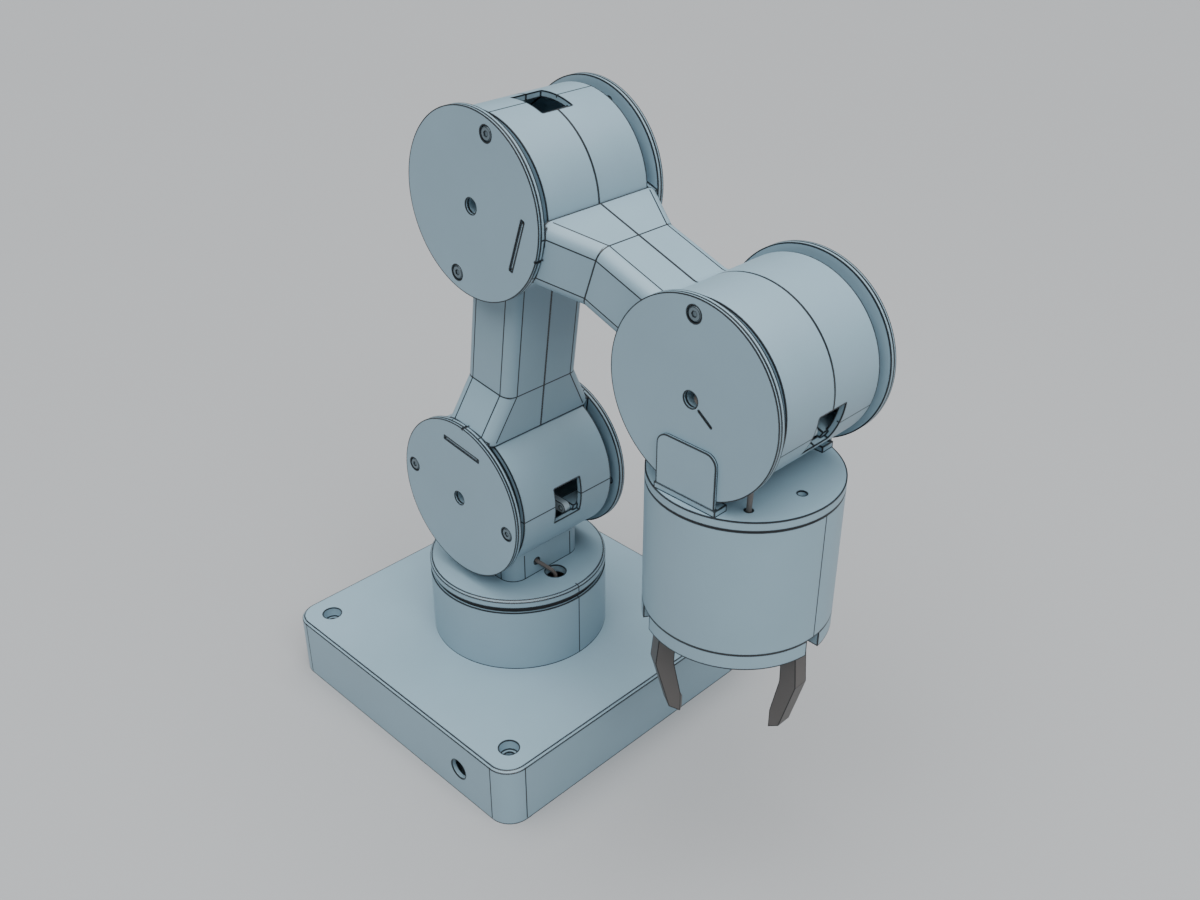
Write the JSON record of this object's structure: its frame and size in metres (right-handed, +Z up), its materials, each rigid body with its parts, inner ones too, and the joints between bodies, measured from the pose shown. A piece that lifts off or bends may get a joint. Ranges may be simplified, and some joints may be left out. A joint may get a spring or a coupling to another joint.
{
  "type": "five-axis robot arm",
  "caption": "Desktop robot arm on a square base, with turning waist, shoulder, elbow and wrist drums, a rolling wrist and a three-finger gripper.",
  "frame": {"origin": "on the floor, on the axis of the waist, in the middle of the square base", "axes": "+Z up along the waist, +X forward to the gripper, +Y to the arm's left along the joint axes"},
  "size_m": [0.3143, 0.2, 0.3677],
  "materials": {
    "shell": "satin blue-grey plastic",
    "bracket_aluminium": "machined",
    "motor": "black painted case",
    "steel": "plain steel",
    "finger": "dark grey plastic",
    "board": "green board",
    "slip": "moulded ring",
    "seal": "black rubber",
    "wire": "brownish-grey sheath"
  },
  "bodies": {
    "base": {"base_housing": "shell", "bottom_plate": "shell", "plate_screws": "steel", "control_board": "board", "waist_pedestal": "shell", "waist_motor_mount": "bracket_aluminium", "pedestal_screws": "steel", "waist_gearmotor": "motor", "waist_bearing": "steel", "waist_seal": "seal", "slip_ring": "slip"},
    "turntable": {"turntable": "shell", "turntable_screws": "steel", "shoulder_housing": "shell", "shoulder_end_wall": "shell", "shoulder_gearmotor": "motor", "shoulder_bearing_left": "steel", "shoulder_bearing_right": "steel", "waist_cable": "wire"},
    "upper_arm": {"upper_arm_left": "shell", "upper_arm_right": "shell", "upper_arm_screws": "steel", "shoulder_cover_left": "shell", "shoulder_cover_right": "shell", "shoulder_cover_screws": "steel", "shoulder_shaft": "steel", "elbow_gearmotor": "motor", "elbow_bearing_left": "steel", "elbow_bearing_right": "steel"},
    "forearm": {"forearm_left": "shell", "forearm_right": "shell", "forearm_screws": "steel", "elbow_cover_left": "shell", "elbow_cover_right": "shell", "elbow_cover_screws": "steel", "elbow_shaft": "steel", "wrist_gearmotor": "motor", "wrist_bearing_left": "steel", "wrist_bearing_right": "steel"},
    "wrist": {"wrist_disc_left": "shell", "wrist_disc_right": "shell", "wrist_cover_left": "shell", "wrist_cover_right": "shell", "wrist_cover_screws": "steel", "wrist_bracket_left": "shell", "wrist_bracket_right": "shell", "bracket_screws": "steel", "wrist_shaft": "steel", "wrist_cap": "shell", "roll_gearmotor": "motor", "gripper_cable": "wire"},
    "gripper": {"gripper_body": "shell", "roll_bearing": "steel", "gripper_motor": "motor", "palm": "shell", "palm_screws": "steel"},
    "scroll": {"scroll_cam": "bracket_aluminium"},
    "finger_1": {"finger_1": "finger"},
    "finger_2": {"finger_2": "finger"},
    "finger_3": {"finger_3": "finger"}
  },
  "joints": [
    {"name": "waist", "type": "hinge", "parent": "base", "child": "turntable", "pos_m": [0, 0, 0.0832], "axis": [0, 0, 1], "range_deg": [-170, 170]},
    {"name": "shoulder", "type": "hinge", "parent": "turntable", "child": "upper_arm", "pos_m": [0.00035, 0, 0.1435], "axis": [0, 1, 0], "range_deg": [-95, 10]},
    {"name": "elbow", "type": "hinge", "parent": "upper_arm", "child": "forearm", "pos_m": [0.02465, 0, 0.3199], "axis": [0, 1, 0], "range_deg": [-100, 5]},
    {"name": "wrist_pitch", "type": "hinge", "parent": "forearm", "child": "wrist", "pos_m": [0.1665, 0, 0.2692], "axis": [0, 1, 0], "range_deg": [-110, 10]},
    {"name": "wrist_roll", "type": "hinge", "parent": "wrist", "child": "gripper", "pos_m": [0.1665, 0, 0.2128], "axis": [0, 0, 1], "range_deg": [-170, 170]},
    {"name": "gripper_drive", "type": "hinge", "parent": "gripper", "child": "scroll", "pos_m": [0.1665, 0, 0.145], "axis": [0, 0, 1], "range_deg": [-240, 0]},
    {"name": "finger_1_slide", "type": "slide", "parent": "gripper", "child": "finger_1", "axis": [-1, 0, 0], "range_m": [0, 0.02402]},
    {"name": "finger_2_slide", "type": "slide", "parent": "gripper", "child": "finger_2", "axis": [0.5, -0.866, 0], "range_m": [0, 0.02402]},
    {"name": "finger_3_slide", "type": "slide", "parent": "gripper", "child": "finger_3", "axis": [0.5, 0.866, 0], "range_m": [0, 0.02402]}
  ],
  "couplings": [
    {"joint": "finger_1_slide", "follows": "gripper_drive", "m_per_rad": -0.0057296},
    {"joint": "finger_2_slide", "follows": "gripper_drive", "m_per_rad": -0.0057296},
    {"joint": "finger_3_slide", "follows": "gripper_drive", "m_per_rad": -0.0057296}
  ]
}
